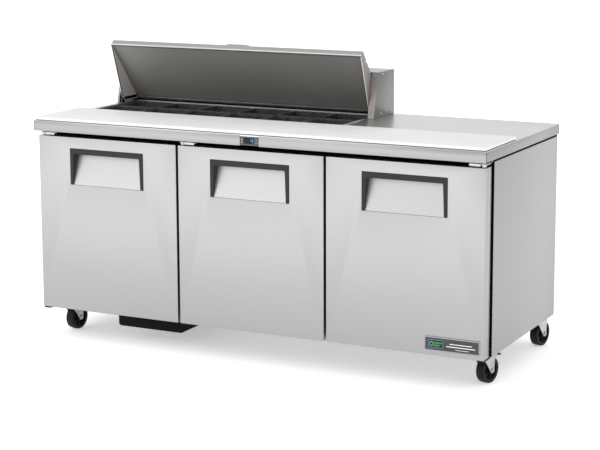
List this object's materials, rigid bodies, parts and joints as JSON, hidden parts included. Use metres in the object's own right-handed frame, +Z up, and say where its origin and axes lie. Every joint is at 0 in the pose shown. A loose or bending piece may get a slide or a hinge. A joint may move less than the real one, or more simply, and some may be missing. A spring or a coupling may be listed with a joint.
{
  "type": "sandwich prep table",
  "caption": "Stainless steel sandwich prep table: refrigerated cabinet with hinged doors, chilled pan opening under a lid and hood, white cutting board and castors.",
  "frame": {"origin": "on the floor, under the middle of the worktop's length and depth", "axes": "+X along the worktop, from the hooded end to the plain end; +Y from the door side to the back; +Z up"},
  "size_m": [1.839, 0.766, 1.1122],
  "materials": {
    "stainless": "brushed stainless sheet",
    "aluminium": "mill-finish aluminium",
    "zinc": "bright zinc plate",
    "black_steel": "black powder coat",
    "black_plastic": "moulded charcoal plastic",
    "black_rubber": "matt black rubber",
    "polyethylene": "white polyethylene",
    "polycarbonate": "clear moulded polycarbonate",
    "white_wire": "white coated wire",
    "badge_face": "dark grey plate in a bright rim"
  },
  "bodies": {
    "cabinet": {"side_panel_left": "stainless", "side_panel_right": "stainless", "floor_panel": "stainless", "front_frame": "stainless", "back_panel": "stainless", "rear_grille": "stainless", "cord_gland": "black_plastic", "machine_housing": "aluminium", "compressor": "black_steel", "condenser": "aluminium", "evaporator": "aluminium", "base_frame": "black_steel", "condensate_tray": "black_steel", "worktop": "stainless", "control_unit": "black_plastic", "pan_well": "stainless", "hood": "stainless", "top_hinge_left": "zinc", "top_hinge_middle": "zinc", "top_hinge_right": "zinc"},
    "condenser_fan": {"condenser_fan": "black_plastic"},
    "evaporator_fan": {"evaporator_fan": "black_plastic"},
    "lid": {"lid": "stainless", "lid_handle": "stainless"},
    "door_left": {"door_left": "stainless", "gasket_left": "black_rubber", "handle_left": "black_plastic"},
    "door_middle": {"door_middle": "stainless", "gasket_middle": "black_rubber", "handle_middle": "black_plastic"},
    "door_right": {"door_right": "stainless", "gasket_right": "black_rubber", "handle_right": "black_plastic", "badge": "badge_face"},
    "cutting_board": {"cutting_board": "polyethylene"},
    "castor_front_left": {"fork_front_left": "zinc"},
    "wheel_front_left": {"wheel_front_left": "black_rubber"},
    "brake_front_left": {"brake_pedal_front_left": "black_plastic"},
    "castor_front_right": {"fork_front_right": "zinc"},
    "wheel_front_right": {"wheel_front_right": "black_rubber"},
    "brake_front_right": {"brake_pedal_front_right": "black_plastic"},
    "castor_rear_left": {"fork_rear_left": "zinc"},
    "wheel_rear_left": {"wheel_rear_left": "black_rubber"},
    "castor_rear_right": {"fork_rear_right": "zinc"},
    "wheel_rear_right": {"wheel_rear_right": "black_rubber"},
    "shelf_left": {"shelf_left": "white_wire"},
    "shelf_middle": {"shelf_middle": "white_wire"},
    "shelf_right": {"shelf_right": "white_wire"},
    "pan_front_1": {"pan_front_1": "polycarbonate"},
    "pan_front_2": {"pan_front_2": "polycarbonate"},
    "pan_front_3": {"pan_front_3": "polycarbonate"},
    "pan_front_4": {"pan_front_4": "polycarbonate"},
    "pan_front_5": {"pan_front_5": "polycarbonate"},
    "pan_front_6": {"pan_front_6": "polycarbonate"},
    "pan_rear_1": {"pan_rear_1": "polycarbonate"},
    "pan_rear_2": {"pan_rear_2": "polycarbonate"},
    "pan_rear_3": {"pan_rear_3": "polycarbonate"},
    "pan_rear_4": {"pan_rear_4": "polycarbonate"},
    "pan_rear_5": {"pan_rear_5": "polycarbonate"},
    "pan_rear_6": {"pan_rear_6": "polycarbonate"}
  },
  "joints": [
    {"name": "lid_hinge", "type": "hinge", "parent": "cabinet", "child": "lid", "pos_m": [0, 0.213, 0.859], "axis": [-1, 0, 0], "range_deg": [-71, 0]},
    {"name": "door_left_hinge", "type": "hinge", "parent": "cabinet", "child": "door_left", "pos_m": [-0.8975, -0.349, 0.45], "axis": [0, 0, -1], "range_deg": [0, 100], "stiffness_Nm_per_rad": 1, "springref_deg": -17.19},
    {"name": "door_middle_hinge", "type": "hinge", "parent": "cabinet", "child": "door_middle", "pos_m": [-0.282, -0.349, 0.45], "axis": [0, 0, -1], "range_deg": [0, 100], "stiffness_Nm_per_rad": 1, "springref_deg": -17.19},
    {"name": "door_right_hinge", "type": "hinge", "parent": "cabinet", "child": "door_right", "pos_m": [0.8975, -0.349, 0.45], "axis": [0, 0, 1], "range_deg": [0, 100], "stiffness_Nm_per_rad": 1, "springref_deg": -17.19},
    {"name": "castor_front_left_swivel", "type": "hinge", "parent": "cabinet", "child": "castor_front_left", "pos_m": [-0.8615, -0.253, 0.125], "axis": [0, 0, 1], "continuous": true},
    {"name": "wheel_front_left_spin", "type": "hinge", "parent": "castor_front_left", "child": "wheel_front_left", "pos_m": [-0.85784, -0.21819, 0.048], "axis": [0.9945, -0.1045, 0], "continuous": true},
    {"name": "brake_front_left_pedal", "type": "hinge", "parent": "castor_front_left", "child": "brake_front_left", "pos_m": [-0.85544, -0.19532, 0.1], "axis": [-0.9945, 0.1045, 0], "range_deg": [0, 12]},
    {"name": "castor_front_right_swivel", "type": "hinge", "parent": "cabinet", "child": "castor_front_right", "pos_m": [0.8615, -0.253, 0.125], "axis": [0, 0, 1], "continuous": true},
    {"name": "wheel_front_right_spin", "type": "hinge", "parent": "castor_front_right", "child": "wheel_front_right", "pos_m": [0.87056, -0.21919, 0.048], "axis": [0.9659, -0.2588, 0], "continuous": true},
    {"name": "brake_front_right_pedal", "type": "hinge", "parent": "castor_front_right", "child": "brake_front_right", "pos_m": [0.87651, -0.19698, 0.1], "axis": [-0.9659, 0.2588, 0], "range_deg": [0, 12]},
    {"name": "castor_rear_left_swivel", "type": "hinge", "parent": "cabinet", "child": "castor_rear_left", "pos_m": [-0.8675, 0.299, 0.125], "axis": [0, 0, 1], "continuous": true},
    {"name": "wheel_rear_left_spin", "type": "hinge", "parent": "castor_rear_left", "child": "wheel_rear_left", "pos_m": [-0.86202, 0.33357, 0.048], "axis": [0.9877, -0.1564, 0], "continuous": true},
    {"name": "castor_rear_right_swivel", "type": "hinge", "parent": "cabinet", "child": "castor_rear_right", "pos_m": [0.8675, 0.299, 0.125], "axis": [0, 0, 1], "continuous": true},
    {"name": "wheel_rear_right_spin", "type": "hinge", "parent": "castor_rear_right", "child": "wheel_rear_right", "pos_m": [0.87478, 0.33324, 0.048], "axis": [0.9781, -0.2079, 0], "continuous": true},
    {"name": "condenser_fan_spin", "type": "hinge", "parent": "cabinet", "child": "condenser_fan", "pos_m": [-0.3395, 0.297, 0.2828], "axis": [0, 1, 0], "continuous": true},
    {"name": "evaporator_fan_spin", "type": "hinge", "parent": "cabinet", "child": "evaporator_fan", "pos_m": [0.1805, 0.251, 0.651], "axis": [0, 1, 0], "continuous": true},
    {"name": "cutting_board_lift", "type": "slide", "parent": "cabinet", "child": "cutting_board", "axis": [0, 0, 1], "range_m": [0, 0.06]},
    {"name": "shelf_left_lift", "type": "slide", "parent": "cabinet", "child": "shelf_left", "axis": [0, 0, 1], "range_m": [0, 0.03]},
    {"name": "shelf_middle_lift", "type": "slide", "parent": "cabinet", "child": "shelf_middle", "axis": [0, 0, 1], "range_m": [0, 0.03]},
    {"name": "shelf_right_lift", "type": "slide", "parent": "cabinet", "child": "shelf_right", "axis": [0, 0, 1], "range_m": [0, 0.03]},
    {"name": "pan_front_1_lift", "type": "slide", "parent": "cabinet", "child": "pan_front_1", "axis": [0, 0, 1], "range_m": [0, 0.08]},
    {"name": "pan_front_2_lift", "type": "slide", "parent": "cabinet", "child": "pan_front_2", "axis": [0, 0, 1], "range_m": [0, 0.08]},
    {"name": "pan_front_3_lift", "type": "slide", "parent": "cabinet", "child": "pan_front_3", "axis": [0, 0, 1], "range_m": [0, 0.08]},
    {"name": "pan_front_4_lift", "type": "slide", "parent": "cabinet", "child": "pan_front_4", "axis": [0, 0, 1], "range_m": [0, 0.08]},
    {"name": "pan_front_5_lift", "type": "slide", "parent": "cabinet", "child": "pan_front_5", "axis": [0, 0, 1], "range_m": [0, 0.08]},
    {"name": "pan_front_6_lift", "type": "slide", "parent": "cabinet", "child": "pan_front_6", "axis": [0, 0, 1], "range_m": [0, 0.08]},
    {"name": "pan_rear_1_lift", "type": "slide", "parent": "cabinet", "child": "pan_rear_1", "axis": [0, 0, 1], "range_m": [0, 0.035]},
    {"name": "pan_rear_2_lift", "type": "slide", "parent": "cabinet", "child": "pan_rear_2", "axis": [0, 0, 1], "range_m": [0, 0.035]},
    {"name": "pan_rear_3_lift", "type": "slide", "parent": "cabinet", "child": "pan_rear_3", "axis": [0, 0, 1], "range_m": [0, 0.035]},
    {"name": "pan_rear_4_lift", "type": "slide", "parent": "cabinet", "child": "pan_rear_4", "axis": [0, 0, 1], "range_m": [0, 0.035]},
    {"name": "pan_rear_5_lift", "type": "slide", "parent": "cabinet", "child": "pan_rear_5", "axis": [0, 0, 1], "range_m": [0, 0.035]},
    {"name": "pan_rear_6_lift", "type": "slide", "parent": "cabinet", "child": "pan_rear_6", "axis": [0, 0, 1], "range_m": [0, 0.035]}
  ]
}
